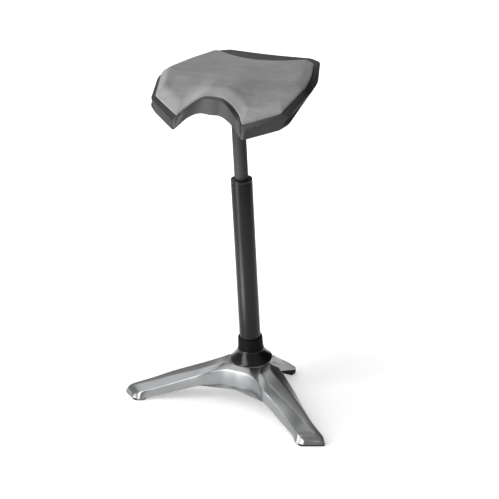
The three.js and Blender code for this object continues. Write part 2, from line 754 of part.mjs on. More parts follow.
// A ring drawn towards the seat's middle and set at a height that a function gives.
function drawnIn(points, share, heightAt) {
  return points.map((point) => {
    const x = point.x * share;
    const f = seatMiddle + (point.y - seatMiddle) * share;
    return place(x, f, heightAt(x, f, point.z));
  });
}

const onDeck = (lift) => (x, f, drop) => deckAt(x, f) - drop + lift;
const deckShares = [0.92, 0.7, 0.46, 0.22];
const crownShares = [0.72, 0.42, 0.15];
const boardShare = 0.92;
const ledgeShare = 0.82;
const flatShare = 0.56;
const bellyShares = [[0.7, 0.35], [0.85, 0.78]]; // rings of the underside and their rise to its edge

// Everything under the deck's surface, raised by a lift, out to a share of the pad's outline.
function underDeck(lift, share) {
  const inner = deckShares.filter((value) => value < share);
  const bottom = floorHeight - seatDepth / 2 + lift;
  return solidOf(lofted([
    drawnIn(padRing, share, () => bottom),
    drawnIn(padRing, share, onDeck(lift)),
    ...inner.map((value) => drawnIn(padRing, value, onDeck(lift))),
  ]));
}

// Height of the shell's underside between its flat middle and its edge.
const bellyAt = (rise) => (x, f, drop) => {
  const flat = floorAt(f);
  return flat + (deckAt(x, f) - drop - flat) * rise;
};

function shellOuter() {
  return solidOf(lofted([
    drawnIn(undersideRing, flatShare, (x, f) => floorAt(f)),
    ...bellyShares.map(([share, rise]) => drawnIn(undersideRing, share, bellyAt(rise))),
    drawnIn(undersideRing, 1, onDeck(0)),
    drawnIn(rimRing, 1, onDeck(0)),
    drawnIn(padRing, 1, onDeck(0)),
    ...deckShares.map((share) => drawnIn(padRing, share, onDeck(0))),
  ]));
}

function shellCavity() {
  const wallShare = shellWall / seatHalfWidth;
  return solidOf(lofted([
    drawnIn(undersideRing, flatShare - wallShare, (x, f) => floorAt(f) + shellWall),
    drawnIn(padRing, ledgeShare, onDeck(-boardThickness - shellWall)),
    drawnIn(padRing, ledgeShare, onDeck(wallHeight)),
  ]));
}

// Room for the board, open above the deck.
function boardWell() {
  const rim = lofted([
    drawnIn(padRing, boardShare, onDeck(-wallHeight)),
    drawnIn(padRing, boardShare, onDeck(wallHeight)),
  ]);
  return solidOf(rim).subtract(underDeck(-boardThickness - clearance, 1));
}

function shellSolid() {
  const outer = shellOuter();
  const well = boardWell();
  let shell = outer.subtract(shellCavity()).subtract(well);
  const addBoss = (geometry) => {
    shell = shell.add(solidOf(geometry).intersect(outer).subtract(well));
  };
  const drill = (geometry) => {
    shell = shell.subtract(solidOf(geometry));
  };
  mountScrewPlaces().forEach(([x, f]) => {
    const boss = disc(bossRadius, shellWall / 2, wallHeight + boardThickness, fineSteps);
    addBoss(boss.translate(x, -f, floorAt(f)));
    drill(onFloor(disc(screwRadius + clearance, -overrun, screwLength, fineSteps), x, f));
  });
  boardScrewPlaces().forEach(([x, f]) => {
    const base = deckAt(x, f) - boardThickness;
    const headTop = boardScrewTop() - boardScrewLength;
    addBoss(disc(bossRadius, -wallHeight, 0, fineSteps).translate(x, -f, base));
    drill(disc(boardScrewRadius + clearance, -wallHeight, overrun, fineSteps).translate(x, -f, base));
    drill(disc(boardScrewHead + clearance, -wallHeight, headTop, fineSteps).translate(x, -f, base));
  });
  return shell;
}

// Sets a piece made about Z on the shell's sloping underside.
function onFloor(geometry, x, f) {
  return geometry.rotateX(floorTilt).translate(x, -f, floorAt(f));
}

function mountScrewPlaces() {
  const half = screwSpacing / 2;
  const corners = [[-half, -half], [half, -half], [-half, half], [half, half]];
  return corners.map(([x, f]) => [x, columnForward + f]);
}

function boardScrewPlaces() {
  const places = boardScrewPlaceShares.map(([across, along]) => [
    seatHalfWidth * across, seatRear + seatDepth * along,
  ]);
  return [...places, ...places.map(([x, f]) => [-x, f])];
}

// Height of a board screw's tip over the board's underside.
function boardScrewTop() {
  return boardThickness * 0.5;
}

function addSeatShell() {
  addPiece(stool, 'seat_shell', 'charcoalPlastic', geometryOf(shellSolid()));
}

function addSeatBoard() {
  const share = boardShare - 2 * clearance / seatHalfWidth;
  let board = underDeck(-clearance, share).subtract(underDeck(-boardThickness, 1));
  boardScrewPlaces().forEach(([x, f]) => {
    const hole = disc(boardScrewRadius + clearance, -overrun, boardScrewTop() + clearance, fineSteps);
    board = board.subtract(solidOf(hole.translate(x, -f, deckAt(x, f) - boardThickness)));
  });
  addPiece(stool, 'seat_board', 'plywood', geometryOf(board));
}

// The cushion's form, inset all round and cut off a little above the deck: mitred rings up its bevelled
// edge, then rings drawn in over its crown.
function cushionForm(inset, lift) {
  const edgeRings = [
    [seamInset, -overrun],
    [0, cushionBulgeHeight - inset],
    [bevelInset, bevelBottom - inset],
    [bevelInset + bevelRun, bevelTop - inset],
    [crownInset, crownEdge - inset],
  ].map(([distance, height]) => {
    const ring = ringOf(insetCorners(padCorners, distance + inset));
    return drawnIn(ring, 1, onDeck(height));
  });
  const crown = ringOf(insetCorners(padCorners, crownInset + inset));
  const crownRings = crownShares.map((share) => drawnIn(crown, share, onDeck(cushionHeight - inset)));
  return solidOf(lofted([...edgeRings, ...crownRings])).subtract(underDeck(lift, 1));
}

function addCushion() {
  const cover = cushionForm(0, clearance).subtract(cushionForm(coverThickness, 0));
  addPiece(stool, 'fabric_cover', 'greyFabric', geometryOf(cover));
  addPiece(stool, 'foam_core', 'foam', geometryOf(cushionForm(coverThickness + clearance, clearance)));
}

// Seat mount: a sloping plate with a socket on the column's axis and two ears for the lever's pin
const plateTop = -clearance;
const leverBottom = cylinderTop + valvePinLift + clearance;

function roundedPlate(half, corner, thickness) {
  const shape = new THREE.Shape();
  shape.moveTo(-half + corner, -half);
  shape.lineTo(half - corner, -half).absarc(half - corner, -half + corner, corner, -Math.PI / 2, 0);
  shape.lineTo(half, half - corner).absarc(half - corner, half - corner, corner, 0, Math.PI / 2);
  shape.lineTo(-half + corner, half).absarc(-half + corner, half - corner, corner, Math.PI / 2, Math.PI);
  shape.lineTo(-half, -half + corner);
  shape.absarc(-half + corner, -half + corner, corner, Math.PI, 1.5 * Math.PI);
  return new THREE.ExtrudeGeometry(shape, { depth: thickness, bevelEnabled: false, curveSegments: 4 });
}

function box(corner, opposite) {
  const span = new THREE.Box3().setFromPoints([corner, opposite]);
  const size = span.getSize(new THREE.Vector3());
  return new THREE.BoxGeometry(size.x, size.y, size.z).translate(...span.getCenter(new THREE.Vector3()));
}

// A solid that fills everything above the plate's underside, to trim what is welded to it.
function abovePlate(lift) {
  const slab = disc(2 * seatHalfWidth, lift, wallHeight + 2 * plateThickness, fineSteps);
  return solidOf(onFloor(slab, 0, columnForward));
}

function addSeatMount() {
  const plate = solidOf(onFloor(
    roundedPlate(plateHalf, plateCorner, plateThickness).translate(0, 0, plateTop - plateThickness),
    0, columnForward,
  ));
  const reach = cylinderTop + 2 * valvePinLift + plateThickness;
  const socket = solidOf(disc(socketRadius, socketBottom, reach + overrun).applyMatrix4(column.matrix));
  const earInner = leverWidth / 2 + clearance;
  const earBottom = leverBottom - leverThickness;
  const ear = (side) => solidOf(box(
    new THREE.Vector3(-leverPivot - earHalfWidth, side * earInner, earBottom),
    new THREE.Vector3(-socketRadius / 2, side * (earInner + earThickness), reach + overrun),
  ).applyMatrix4(column.matrix));
  let mount = socket.add(ear(1)).add(ear(-1));
  mount = mount.subtract(abovePlate(plateTop - plateThickness / 2)).add(plate);
  const bore = disc(cylinderRadius + clearance, socketBottom - overrun, cylinderTop + clearance);
  const throat = disc(cylinderRadius + clearance, socketBottom, reach + 2 * overrun);
  mount = mount.subtract(solidOf(bore.applyMatrix4(column.matrix)));
  const throatSolid = solidOf(throat.applyMatrix4(column.matrix));
  mount = mount.subtract(throatSolid.subtract(abovePlate(plateTop - plateThickness)));
  const slotHalf = leverWidth / 2 + clearance;
  const slot = box(
    new THREE.Vector3(-leverPivot - 2 * earHalfWidth, -slotHalf, leverBottom - leverSwing),
    new THREE.Vector3(0, slotHalf, reach),
  ).applyMatrix4(column.matrix);
  mount = mount.subtract(solidOf(slot).subtract(abovePlate(plateTop - plateThickness)));
  const pinReach = earInner + earThickness + overrun;
  const pinHole = disc(leverPinRadius + clearance, -pinReach, pinReach, fineSteps);
  mount = mount.subtract(solidOf(acrossColumn(pinHole)));
  mountScrewPlaces().forEach(([x, f]) => {
    const hole = disc(screwRadius + clearance, -plateThickness - overrun, overrun, fineSteps);
    mount = mount.subtract(solidOf(onFloor(hole, x, f)));
  });
  addPiece(stool, 'seat_mount', 'matteBlack', geometryOf(mount));
}

// Turns a piece made about Z so that it lies across the lever, at the pivot.
function acrossColumn(geometry) {
  return geometry.rotateX(Math.PI / 2)
    .translate(-leverPivot, 0, leverBottom + leverThickness / 2)
    .applyMatrix4(column.matrix);
}

function addLeverPin() {
  const reach = leverWidth / 2 + clearance + earThickness + clearance;
  addPiece(stool, 'lever_pin', 'steel', acrossColumn(turned([
    [0, -reach - leverPinHeadHeight],
    [leverPinHead, -reach - leverPinHeadHeight],
    [leverPinHead, -reach],
    [leverPinRadius, -reach],
    [leverPinRadius, reach],
    [0, reach],
  ], fineSteps)));
}

// Lever: a flat bar that lies over the valve button, pivots in the ears and climbs outward to its grip.
function leverBar(halfWidth, thickness, from, to, spare) {
  const climb = (x) => Math.max(0, x - leverPivot) * leverAngleShare;
  const stations = [from, leverPivot, to].filter((x, i, list) => i === 0 || x > list[i - 1]);
  const low = leverBottom + leverThickness / 2 - thickness / 2;
  return lofted(stations.map((x) => [
    new THREE.Vector3(-x, -halfWidth, low + climb(x) - spare),
    new THREE.Vector3(-x, halfWidth, low + climb(x) - spare),
    new THREE.Vector3(-x, halfWidth, low + thickness + climb(x) + spare),
    new THREE.Vector3(-x, -halfWidth, low + thickness + climb(x) + spare),
  ].reverse())).applyMatrix4(column.matrix);
}

function addLever() {
  const end = leverLength - gripLength + gripOverlap;
  const bar = solidOf(leverBar(leverWidth / 2, leverThickness, -leverInnerEnd, end, 0));
  const eye = solidOf(acrossColumn(disc(leverEyeRadius, -leverWidth / 2, leverWidth / 2, fineSteps)));
  const hole = solidOf(acrossColumn(disc(holeAround(leverPinRadius), -leverWidth, leverWidth)));
  const lever = bar.add(eye).subtract(hole);
  addPiece(stool, 'release_lever', 'darkSteel', geometryOf(lever));
  const start = leverLength - gripLength;
  const grip = solidOf(leverBar(gripWidth / 2, gripThickness, start, leverLength, 0));
  const pocketHalf = leverWidth / 2 + clearance;
  const pocket = leverBar(pocketHalf, leverThickness, start - overrun, end + clearance, clearance);
  addPiece(stool, 'lever_grip', 'matteBlack', geometryOf(grip.subtract(solidOf(pocket))));
}

function addScrews() {
  const headTop = plateTop - plateThickness - clearance;
  mountScrewPlaces().forEach(([x, f], i) => {
    const screw = turned([
      [0, headTop - screwHeadHeight],
      [screwHeadRadius, headTop - screwHeadHeight],
      [screwHeadRadius, headTop],
      [screwRadius, headTop],
      [screwRadius, screwLength - clearance],
      [0, screwLength - clearance],
    ], fineSteps);
    addPiece(stool, `mount_screw_${i + 1}`, 'darkSteel', onFloor(screw, x, f));
  });
  boardScrewPlaces().forEach(([x, f], i) => {
    const top = boardScrewTop();
    const head = top - boardScrewLength - clearance;
    const screw = turned([
      [0, head - boardScrewHeadHeight],
      [boardScrewHead, head - boardScrewHeadHeight],
      [boardScrewHead, head],
      [boardScrewRadius, head],
      [boardScrewRadius, top],
      [0, top],
    ], fineSteps).translate(x, -f, deckAt(x, f) - boardThickness);
    addPiece(stool, `board_screw_${i + 1}`, 'steel', screw);
  });
}

addFootCasting();
addFootPads();
addTube();
addBellAndCollar();
addBushAndCap();
addThrustBearing();
addPistonRod();
addGasCylinder();
addSeatMount();
addSeatShell();
addSeatBoard();
addCushion();
addLeverPin();
addLever();
addScrews();

// Puts the origin under the middle of the stool's box.
const part = new THREE.Group();
part.add(stool);
const reachBox = new THREE.Box3().setFromObject(part, true);
stool.position.y = -(reachBox.min.y + reachBox.max.y) / 2;

export default part;
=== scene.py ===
import math
import bpy
import numpy as np
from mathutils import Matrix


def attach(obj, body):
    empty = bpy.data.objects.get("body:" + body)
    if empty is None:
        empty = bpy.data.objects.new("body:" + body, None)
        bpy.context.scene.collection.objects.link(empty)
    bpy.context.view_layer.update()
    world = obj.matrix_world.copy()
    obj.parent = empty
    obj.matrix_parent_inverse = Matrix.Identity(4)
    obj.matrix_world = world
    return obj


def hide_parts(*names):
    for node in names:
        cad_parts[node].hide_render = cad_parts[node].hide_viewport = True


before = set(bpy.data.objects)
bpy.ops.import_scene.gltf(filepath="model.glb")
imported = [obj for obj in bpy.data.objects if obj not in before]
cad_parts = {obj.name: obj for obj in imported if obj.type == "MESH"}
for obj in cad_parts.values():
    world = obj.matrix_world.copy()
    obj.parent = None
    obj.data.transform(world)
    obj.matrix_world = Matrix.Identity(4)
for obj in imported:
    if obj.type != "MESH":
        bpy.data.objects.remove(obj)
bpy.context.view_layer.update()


# Foot casting
# The foot is one polished aluminium casting: two long front legs with creased tops, a short rear
# leg, webs that join them at the back, a wall that fans out round the front under a ridge, and a
# boss that the column stands in. Its underside rises between the tips.
MM = 0.001   # a millimetre in metres
BACK = 9.034 * MM   # the column's axis meets the floor this far behind the stool's middle
LEAN = math.radians(5.5)   # the column leans forward
HUB = 101.5   # height of the boss's top on the column's axis, in millimetres
ROUND = 96   # points round the column
LEG_STEPS = 14   # rings from one station of a leg to the next
FAN_STEPS = 8   # points from one station of the fan to the next
FAN_LIFT = 1.5   # the fan's wall starts this far above its underside
LEG_EDGE, REAR_EDGE, RIDGE_EDGE = 2.8, 2.0, 4   # how far the roundings reach from their edges
TAKEN = 0.45   # the most that a rounding takes up of a side

# Stations along the right front leg from its tip to inside the boss, in millimetres across,
# forward and up: lower front edge, front ridge, panel crease, crest, rear edge, lower rear edge.
FRONT_LEG = np.array([
    [[235, 170, 4.5], [236, 164.5, 14], [261, 150.5, 14],
     [265.5, 147, 13.5], [269, 144.5, 11], [272.5, 147, 5]],
    [[228, 169.5, 3.8], [229, 163.5, 17.5], [262, 145, 17.5],
     [268, 139.5, 17], [271, 138.5, 13], [276, 140.5, 4.5]],
    [[217, 169.5, 3.6], [219, 162, 21.5], [253, 143, 24],
     [260, 135.5, 23.5], [266, 129.5, 16.5], [270, 133, 5.5]],
    [[196, 150, 9], [194, 148, 28.5], [207, 121, 39], [217, 108, 40], [222, 97, 24], [224, 95, 9]],
    [[155, 127, 20], [154, 125, 43], [168, 103, 54], [178, 83, 56], [182, 68, 41], [184, 66, 18]],
    [[114, 107, 34], [113, 104, 60], [124, 86, 68.5], [138, 61, 70.5], [143, 37, 57], [144, 36, 32]],
    [[86, 93, 42], [84, 91, 72], [94, 71, 79.5], [108, 45, 81], [117, 17, 66], [118, 16, 42]],
    [[52, 67.5, 46], [48, 62, 81], [58, 51, 91], [71, 27, 95.5], [82, -6, 81], [82, -6, 48]],
    [[32, 50, 48], [28, 46, 84], [42, 31, 94.5], [53, 3, 99.5], [60, -18, 86], [60, -18, 49]],
    [[10, 30, 50], [10, 30, 84], [14, 20, 94], [18, 4, 99], [20, -16, 86], [20, -16, 50]],
], float)
# The same for the rear leg: both lower edges, right side, both top edges, left side.
REAR_LEG = np.array([
    [[-33, -168, 12.5], [33, -168, 12.5], [33, -164, 18],
     [26, -162, 22], [-26, -162, 22], [-33, -164, 18]],
    [[-34, -160, 12], [34, -160, 12], [31, -156, 22], [26, -154, 29], [-26, -154, 29], [-31, -156, 22]],
    [[-33, -115, 27], [33, -115, 27], [26, -110, 52], [21, -110, 59], [-21, -110, 59], [-26, -110, 52]],
    [[-36, -54, 48], [36, -54, 48], [29, -54, 84], [23, -54, 92], [-23, -54, 92], [-29, -54, 84]],
    [[-30, -9, 50], [30, -9, 50], [30, -9, 81], [20, -9, 94], [-20, -9, 94], [-30, -9, 81]],
], float)
# Lower and upper outline of the web between the right leg and the rear leg.
WEB = np.array([
    [[111, 17, 43], [67, -2, 47], [17, -30, 47], [14, -35, 47], [33, -93, 32], [75, -17, 45]],
    [[111, 17, 62], [67, 8, 88], [22, -30, 89], [20, -38, 88], [33, -93, 53], [75, -17, 71]],
], float)
# Contours of the fan from the stool's middle to the right leg: its foot, its ridge and its top.
FAN_LOW = [
    [0, 67.5, 48.5], [20, 66.5, 48.5], [39, 70, 48], [54, 76.2, 46.5],
    [68, 82.8, 44.5], [82, 89.6, 42.5], [95, 94.5, 41.5],
]
FAN_RIDGE = [
    [0, 64, 88], [20, 64, 87.6], [36, 66, 86], [50, 70.5, 82],
    [63, 77, 77.5], [76, 84.5, 73.5], [88, 89.5, 69.5],
]
FAN_TOP = [
    [0, 51.5, 96], [12, 50.5, 96], [24, 46.5, 96], [35, 39, 96],
    [43, 29, 96], [48, 18, 96], [50, 8, 96],
]


def place(points):
    """From millimetres across, forward of the column's foot and up, to metres on the stool's axes,
    where y runs backward from the stool's middle."""
    return np.stack([points[..., 0] * MM, BACK - points[..., 1] * MM, points[..., 2] * MM], -1)


def skin(name, grid, caps=True):
    """A skin over rings of points: each point and the next one in its ring make a quad with the
    same two of the following ring. A fan of triangles to the ring's mean closes each end."""
    rings, count = grid.shape[:2]
    level, i = np.meshgrid(np.arange(rings - 1), np.arange(count), indexing="ij")
    a = level * count + i
    b = level * count + (i + 1) % count
    faces = np.stack([a, b, b + count, a + count], -1).reshape(-1, 4).tolist()
    points = grid.reshape(-1, 3)
    if caps:
        j = np.arange(count)
        k = (j + 1) % count
        last = (rings - 1) * count
        low, high = np.full(count, len(points)), np.full(count, len(points) + 1)
        faces += np.stack([low, k, j], -1).tolist()
        faces += np.stack([high, last + j, last + k], -1).tolist()
        points = np.concatenate([points, [grid[0].mean(0), grid[-1].mean(0)]])
    mesh = bpy.data.meshes.new(name)
    mesh.from_pydata(points.tolist(), [], faces)
    mesh.update()
    piece = bpy.data.objects.new(name, mesh)
    bpy.context.scene.collection.objects.link(piece)
    return piece


def smooth(piece, crisp=None):
    """Shades a piece smooth, but for edges that bend by more than the angle crisp, in degrees."""
    piece.data.polygons.foreach_set("use_smooth", np.ones(len(piece.data.polygons), bool))
    if crisp:
        piece.data.set_sharp_from_angle(angle=math.radians(crisp))
    return piece


def through(stations, steps):
    """A smooth path through stations: centripetal Catmull-Rom. Its knots stand apart by the square
    root of the distance between stations, and a cubic with the neighbours' slopes joins each pair."""
    p = np.concatenate([
        2 * stations[:1] - stations[1:2], stations, 2 * stations[-1:] - stations[-2:-1]])
    gaps = np.sqrt(np.linalg.norm(np.diff(p, axis=0).reshape(len(p) - 1, -1), axis=1))
    gaps = gaps.reshape((-1,) + (1,) * (p.ndim - 1))
    before, own, after = gaps[:-2], gaps[1:-1], gaps[2:]
    p0, p1, p2, p3 = p[:-3], p[1:-2], p[2:-1], p[3:]
    leave = ((p1 - p0) / before - (p2 - p0) / (before + own) + (p2 - p1) / own) * own
    arrive = ((p2 - p1) / own - (p3 - p1) / (own + after) + (p3 - p2) / after) * own
    t = (np.arange(steps) / steps).reshape((1, -1) + (1,) * (p.ndim - 1))
    path = (2 * t**3 - 3 * t**2 + 1) * p1[:, None] + (t**3 - 2 * t**2 + t) * leave[:, None]
    path = path + (3 * t**2 - 2 * t**3) * p2[:, None] + (t**3 - t**2) * arrive[:, None]
    return np.concatenate([path.reshape((-1,) + p.shape[1:]), p[-2:-1]])


def arc(start, corner, end, t):
    """A quadratic arc: it leaves its start towards the corner and reaches its end from there."""
    return (1 - t)**2 * start + 2 * t * (1 - t) * corner + t**2 * end


def rounding(before, corner, after, radius, t):
    """An arc past a corner between its two sides. It starts and ends a radius away from the corner,
    or less on a short side."""
    back, ahead = before - corner, after - corner
    lb = np.linalg.norm(back, axis=-1, keepdims=True)
    la = np.linalg.norm(ahead, axis=-1, keepdims=True)
    start = corner + back / lb * np.minimum(radius, TAKEN * lb)
    end = corner + ahead / la * np.minimum(radius, TAKEN * la)
    return arc(start, corner, end, t)


def edged(grid, radius, steps=5):
    """Turns every corner of every ring into a short arc between the corners on both sides of it."""
    before, corner, after = (np.roll(grid, turn, axis=1)[:, :, None] for turn in (1, 0, -1))
    t = np.linspace(0, 1, steps)[:, None]
    return rounding(before, corner, after, radius, t).reshape(len(grid), -1, 3)


def bend(before, corner, after, radius, steps=5):
    """Turns the edge along a whole ring into rings on an arc between the rings on both sides of it."""
    return [rounding(before, corner, after, radius, t) for t in np.linspace(0, 1, steps)]


def fan_ring(half, lift=0.0):
    """A ring of the fan: its contour, the mirror image of that about the stool's middle, and two
    points beside the column's foot, half as far out as the contour's ends, that close it."""
    right = through(np.array(half, float), FAN_STEPS) + [0, 0, lift]
    left = right[:0:-1] * [-1, 1, 1]
    end = np.array([right[-1, 0] / 2, 0, right[0, 2]])
    return np.concatenate([left, right, [end, end * [-1, 1, 1]]])[::-1]


def about_column(profile):
    """A surface turned about the column's axis. The profile gives the distance from the axis and the
    distance along it from the boss's top, and the full circles are tipped forward by the lean."""
    turn = np.linspace(0, 2 * np.pi, ROUND, endpoint=False)
    r, s = np.array(profile, float).T[:, :, None]
    x = r * np.cos(turn)
    y = r * np.sin(turn)
    forward = s * math.sin(LEAN) - y * math.cos(LEAN)
    up = HUB + y * math.sin(LEAN) + s * math.cos(LEAN)
    return place(np.stack([x, forward, up], -1))


right_leg = edged(through(FRONT_LEG, LEG_STEPS), LEG_EDGE)
fan_under, fan_foot, fan_ridge, fan_top = (
    fan_ring(FAN_LOW), fan_ring(FAN_LOW, FAN_LIFT), fan_ring(FAN_RIDGE), fan_ring(FAN_TOP))
fan = np.stack([fan_under, fan_foot] + bend(fan_foot, fan_ridge, fan_top, RIDGE_EDGE) + [fan_top])
casting, *others = [
    skin("leg_right", place(right_leg)),
    skin("leg_left", place((right_leg * [-1, 1, 1])[:, ::-1])),
    skin("leg_rear", place(edged(through(REAR_LEG, LEG_STEPS), REAR_EDGE))),
    skin("fan", place(fan)),
    skin("web_right", place(WEB)[:, ::-1]),
    skin("web_left", place(WEB * [-1, 1, 1])),
    skin("boss", about_column([[36, -56], [40, -50], [50, -30], [51.5, -3], [50.5, -0.4]])),
]
casting.name = "casting"
for part in others:
    union = casting.modifiers.new(part.name, "BOOLEAN")
    union.operation = "UNION"
    union.solver = "MANIFOLD"
    union.object = part
bpy.context.view_layer.update()
graph = bpy.context.evaluated_depsgraph_get()
one_body = bpy.data.meshes.new_from_object(casting.evaluated_get(graph))
casting.modifiers.clear()
casting.data = one_body
for part in others:
    bpy.data.objects.remove(part)
smooth(casting, 24)


class Finish:
    """A procedural material for one surface finish. Its patterns lie in the piece's own axes."""

    def __init__(self, name):
        self.material = bpy.data.materials.new(name)
        self.material.use_nodes = True
        self.tree = self.material.node_tree
        self.shader = self.tree.nodes["Principled BSDF"]
        self.axes = self.node("ShaderNodeTexCoord").outputs["Object"]

    def feed(self, socket, value):
        """Links a pattern to a socket, or sets a constant on the socket itself."""
        if isinstance(value, bpy.types.NodeSocket):
            self.tree.links.new(value, socket)
        else:
            socket.default_value = value

    def node(self, kind, inputs=(), **settings):
        """A node of a kind, with what goes into its sockets and its own settings."""
        made = self.tree.nodes.new(kind)
        for key, value in settings.items():
            setattr(made, key, value)
        for key, value in dict(inputs).items():
            self.feed(made.inputs[key], value)
        return made

    def shade(self, **sockets):
        """Feeds the shader's sockets, each named with underscores for its spaces."""
        for key, value in sockets.items():
            self.feed(self.shader.inputs[key.replace("_", " ")], value)

    def noise(self, scale, detail, rough=0.6, vector=None):
        """Soft patches from 0 to 1. The scale says how many fit in a metre."""
        return self.node("ShaderNodeTexNoise", {
            "Vector": vector or self.axes, "Scale": scale, "Detail": detail, "Roughness": rough,
        }).outputs["Fac"]

    def stretched(self, scale):
        """The piece's axes, each multiplied by a number of its own, so that a pattern runs long."""
        return self.node("ShaderNodeMapping", {"Vector": self.axes, "Scale": scale}).outputs["Vector"]

    def ramp(self, value, stops):
        """Colours along a pattern, from pairs of a place between 0 and 1 and a colour."""
        made = self.node("ShaderNodeValToRGB", {"Fac": value})
        elements = made.color_ramp.elements
        while len(elements) < len(stops):
            elements.new(0.5)
        for element, (at, colour) in zip(elements, stops):
            element.position = at
            element.color = (*colour, 1)
        return made.outputs["Color"]

    def span(self, value, low, high):
        """A pattern from 0 to 1, spread from low to high."""
        return self.node("ShaderNodeMapRange", {
            "Value": value, "To Min": low, "To Max": high,
        }).outputs["Result"]

    def bump(self, height, distance, strength):
        """Fine relief out of a pattern, up to a distance in metres high."""
        return self.node("ShaderNodeBump", {
            "Height": height, "Distance": distance, "Strength": strength,
        }).outputs["Normal"]


def dress(piece, finish):
    """Gives a piece one finish all over."""
    piece.data.materials.clear()
    piece.data.materials.append(finish.material)


aluminium = Finish("polished_aluminium")
cloud = aluminium.noise(9, 3)
grain = aluminium.noise(900, 2, 0.5, aluminium.stretched((1, 1, 0.2)))
aluminium.shade(
    Base_Color=aluminium.ramp(cloud, [(0.3, (0.275, 0.28, 0.285)), (0.7, (0.325, 0.33, 0.335))]),
    Metallic=1.0,
    Roughness=aluminium.span(cloud, 0.27, 0.35),
    Normal=aluminium.bump(grain, 0.00006, 0.5),
)
dress(casting, aluminium)
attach(casting, "base")
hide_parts("foot_casting")


# Foot pads
# Moulded black rubber pads are pushed into the underside of each leg's tip. They carry the stool
# and show only as a thin dark line round the tips. The buffer and the seals are rubber too.
rubber = Finish("black_rubber")
speck = rubber.noise(260, 5)
rubber.shade(
    Base_Color=rubber.ramp(speck, [(0.3, (0.009, 0.009, 0.009)), (0.75, (0.022, 0.022, 0.022))]),
    Roughness=rubber.span(speck, 0.75, 0.95),
    Normal=rubber.bump(speck, 0.0002, 0.6),
)
for name in ("rubber_buffer", "piston_seal", "rod_seal"):
    dress(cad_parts[name], rubber)

# Rings of a pad from the floor up: how far each is drawn in, and its share of the pad's height.
PAD_RINGS = ((0.9, 0), (0, 0.2), (0, 0.85), (0.5, 1))

# The right pad's corners, in millimetres across and forward, its height there, and how far they
# are rounded.
FRONT_PAD = np.array([[227, 172.2], [279, 140.2], [257, 122], [207, 153.5]])
FRONT_PAD_TOPS = np.array([3.8, 3.8, 6.2, 6.2])
FRONT_PAD_RADII = np.array([8, 8, 3, 3])
REAR_PAD = np.array([[-33, -168.5], [-33, -148], [33, -148], [33, -168.5]])


def foot_pad(side, corners, tops, radii):
    """A pad: rings through its corners, each drawn in towards the middle and raised to its share of
    the heights, with the corners rounded. Its top follows the casting's underside."""
    inward = corners.mean(0) - corners
    inward /= np.linalg.norm(inward, axis=1, keepdims=True)
    rings = [np.column_stack([corners + inward * gap, tops * share]) for gap, share in PAD_RINGS]
    grid = edged(np.stack(rings), radii[:, None, None], steps=7)
    pad = smooth(skin("pad_" + side, place(grid)), 40)
    dress(pad, rubber)
    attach(pad, "base")
    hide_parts("foot_pad_" + side)


foot_pad("right", FRONT_PAD, FRONT_PAD_TOPS, FRONT_PAD_RADII)
foot_pad("left", (FRONT_PAD * [-1, 1])[::-1], FRONT_PAD_TOPS[::-1], FRONT_PAD_RADII[::-1])
foot_pad("rear", REAR_PAD, np.full(4, 12.0), np.full(4, 3))


# Outer tube
# A steel tube of 50 mm, powder coated satin black, stands in the boss and leans forward. Its wall
# is 2 mm thick and its upper edge is rounded.
tube = smooth(skin("tube", about_column([
    [23, -47.5], [25, -47.5], [25, 456.6], [24.7, 457.2], [24.2, 457.4], [23, 457.4], [23, -47.5],
]), caps=False), 35)
satin = Finish("satin_black")
tint = satin.noise(14, 2)
orange_peel = satin.noise(420, 3)
satin.shade(
    Base_Color=satin.ramp(tint, [(0.3, (0.0055, 0.0056, 0.0058)), (0.7, (0.008, 0.0082, 0.0085))]),
    Roughness=satin.span(satin.noise(30, 3), 0.26, 0.33),
    Specular_IOR_Level=0.24,
    Normal=satin.bump(orange_peel, 0.00012, 0.35),
)
dress(tube, satin)
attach(tube, "base")
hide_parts("outer_tube")


# Bell cover
# A glossy black plastic bell covers the boss. It is moulded with a hollow underside, and flares
# from the collar down to a thin flange.
FLARE_STEPS = 8   # points from one station of the flare to the next
flare = through(np.array([
    [31.3, 29.4], [33.6, 23], [39, 14.5], [46, 7], [50.2, 3.2], [51, 1.8],
], float), FLARE_STEPS)
bell_hollow = [[51, 0.2], [48.5, 0.1], [47, 2.0], [36, 8], [29.5, 20], [25.3, 27.5], [25.3, 30]]
bell = smooth(skin("bell", about_column(
    [[25.3, 30], [30.6, 30]] + flare.tolist() + bell_hollow), caps=False), 50)
gloss = Finish("gloss_black")
tint = gloss.noise(20, 2)
gloss.shade(
    Base_Color=gloss.ramp(tint, [(0.3, (0.003, 0.003, 0.0032)), (0.7, (0.0045, 0.0045, 0.005))]),
    Roughness=gloss.span(gloss.noise(60, 3), 0.16, 0.22),
    Specular_IOR_Level=0.34,
    Normal=gloss.bump(gloss.noise(150, 2), 0.00005, 0.3),
)
dress(bell, gloss)
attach(bell, "base")
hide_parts("bell_cover")


# Collar
# A matte black collar is clamped round the tube above the bell. It narrows a little upwards, and
# its upper edge is chamfered.
collar = smooth(skin("collar", about_column([
    [25.3, 30.3], [30.0, 30.3], [30.4, 30.9], [29.3, 57.6], [28.8, 59.0],
    [27.2, 59.9], [25.9, 60], [25.3, 59.7], [25.3, 30.3],
]), caps=False), 30)
matte = Finish("matte_black")
tint = matte.noise(25, 3)
pore = matte.noise(600, 4)
matte.shade(
    Base_Color=matte.ramp(tint, [(0.3, (0.004, 0.004, 0.0042)), (0.75, (0.0065, 0.0065, 0.0068))]),
    Roughness=matte.span(pore, 0.5, 0.68),
    Specular_IOR_Level=0.08,
    Normal=matte.bump(pore, 0.00015, 0.5),
)
dress(collar, matte)
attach(collar, "base")
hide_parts("tube_collar")


